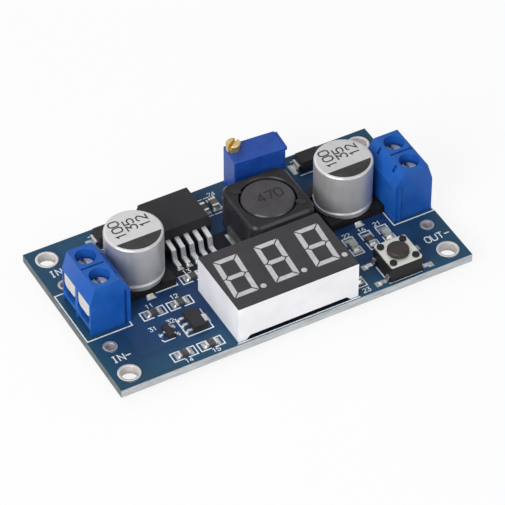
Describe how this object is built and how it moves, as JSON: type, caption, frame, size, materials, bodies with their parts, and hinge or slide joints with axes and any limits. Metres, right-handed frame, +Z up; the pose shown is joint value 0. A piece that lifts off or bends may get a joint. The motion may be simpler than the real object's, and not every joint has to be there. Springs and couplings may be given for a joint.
{
  "type": "boost converter module",
  "caption": "Step-up converter board with screw terminals at both ends, can capacitors, shielded inductor, trimmer, push button and a digit display.",
  "frame": {"origin": "centre of the board, at the level of the pin ends below it", "axes": "+X from the input terminals to the output terminals, +Y to the trimmer's edge, +Z up"},
  "size_m": [0.066, 0.036, 0.0145],
  "materials": {
    "board": "glossy dark blue solder mask on laminate",
    "solder": "bright tin solder",
    "tinned": "tinned metal",
    "block_blue": "moulded blue plastic",
    "brass": "bare brass",
    "screw_steel": "plated steel",
    "can": "drawn aluminium",
    "black_plastic": "moulded black plastic",
    "package": "moulded dark epoxy",
    "ferrite": "matt dark ferrite",
    "copper": "enamelled copper wire",
    "trimmer_blue": "moulded blue plastic",
    "display_white": "moulded white plastic",
    "display_dark": "dark grey printed face",
    "diffuser": "milky resin",
    "potting": "cast resin",
    "resistor": "black glazed ceramic",
    "chip_ceramic": "tan ceramic",
    "lamp": "clear lamp resin"
  },
  "bodies": {
    "module": {"circuit_board": "board", "solder_joints": "solder", "in_capacitor_can": "can", "out_capacitor_can": "can", "in_capacitor_base": "black_plastic", "out_capacitor_base": "black_plastic", "in_capacitor_terminals": "tinned", "out_capacitor_terminals": "tinned", "regulator_body": "package", "regulator_tab": "tinned", "regulator_leads": "tinned", "in_diode_body": "package", "in_diode_leads": "tinned", "out_diode_body": "package", "out_diode_leads": "tinned", "inductor_shield": "ferrite", "inductor_core": "ferrite", "inductor_winding": "copper", "inductor_terminals": "tinned", "trimmer_housing": "trimmer_blue", "trimmer_potting": "trimmer_blue", "trimmer_pins": "tinned", "display_shell": "display_white", "display_face": "display_dark", "display_segments": "diffuser", "display_potting": "potting", "display_pins": "tinned", "button_base": "black_plastic", "button_cover": "tinned", "button_dome": "tinned", "button_leads": "tinned", "meter_chip_body": "package", "meter_chip_leads": "tinned", "meter_supply_body": "package", "meter_supply_leads": "tinned", "transistor_body": "package", "transistor_leads": "tinned", "resistor_bodies": "resistor", "resistor_ends": "solder", "chip_capacitor_bodies": "chip_ceramic", "chip_capacitor_ends": "solder", "lamp_bodies": "lamp", "lamp_ends": "solder", "in_block_housing": "block_blue", "in_block_contacts": "tinned", "out_block_housing": "block_blue", "out_block_contacts": "tinned"},
    "in_negative_guard": {"in_negative_guard": "screw_steel"},
    "in_negative_screw": {"in_negative_screw": "screw_steel"},
    "in_positive_guard": {"in_positive_guard": "screw_steel"},
    "in_positive_screw": {"in_positive_screw": "screw_steel"},
    "out_negative_guard": {"out_negative_guard": "screw_steel"},
    "out_negative_screw": {"out_negative_screw": "screw_steel"},
    "out_positive_guard": {"out_positive_guard": "screw_steel"},
    "out_positive_screw": {"out_positive_screw": "screw_steel"},
    "trimmer_screw": {"trimmer_screw": "brass"},
    "button_plunger": {"button_plunger": "black_plastic"}
  },
  "joints": [
    {"name": "in_negative_guard_drop", "type": "slide", "parent": "module", "child": "in_negative_guard", "axis": [0, 0, -1], "range_m": [0, 0.0016]},
    {"name": "in_negative_screw_turn", "type": "hinge", "parent": "in_negative_guard", "child": "in_negative_screw", "pos_m": [-0.0285, -0.00209, 0.0111], "axis": [0, 0, -1], "range_deg": [0, 1152]},
    {"name": "in_positive_guard_drop", "type": "slide", "parent": "module", "child": "in_positive_guard", "axis": [0, 0, -1], "range_m": [0, 0.0016]},
    {"name": "in_positive_screw_turn", "type": "hinge", "parent": "in_positive_guard", "child": "in_positive_screw", "pos_m": [-0.0285, 0.00299, 0.0111], "axis": [0, 0, -1], "range_deg": [0, 1152]},
    {"name": "out_negative_guard_drop", "type": "slide", "parent": "module", "child": "out_negative_guard", "axis": [0, 0, -1], "range_m": [0, 0.0016]},
    {"name": "out_negative_screw_turn", "type": "hinge", "parent": "out_negative_guard", "child": "out_negative_screw", "pos_m": [0.0296, -0.00239, 0.0111], "axis": [0, 0, -1], "range_deg": [0, 1152]},
    {"name": "out_positive_guard_drop", "type": "slide", "parent": "module", "child": "out_positive_guard", "axis": [0, 0, -1], "range_m": [0, 0.0016]},
    {"name": "out_positive_screw_turn", "type": "hinge", "parent": "out_positive_guard", "child": "out_positive_screw", "pos_m": [0.0296, 0.00269, 0.0111], "axis": [0, 0, -1], "range_deg": [0, 1152]},
    {"name": "trimmer_screw_turn", "type": "hinge", "parent": "module", "child": "trimmer_screw", "pos_m": [0.00524, 0.01464, 0.0131], "axis": [0, 0, 1], "continuous": true},
    {"name": "button_press", "type": "slide", "parent": "module", "child": "button_plunger", "axis": [0, 0, -1], "range_m": [0, 0.00025], "stiffness_N_per_m": 4000}
  ],
  "couplings": [
    {"joint": "in_negative_screw_turn", "follows": "in_negative_guard_drop", "rad_per_m": 12566},
    {"joint": "in_positive_screw_turn", "follows": "in_positive_guard_drop", "rad_per_m": 12566},
    {"joint": "out_negative_screw_turn", "follows": "out_negative_guard_drop", "rad_per_m": 12566},
    {"joint": "out_positive_screw_turn", "follows": "out_positive_guard_drop", "rad_per_m": 12566}
  ]
}
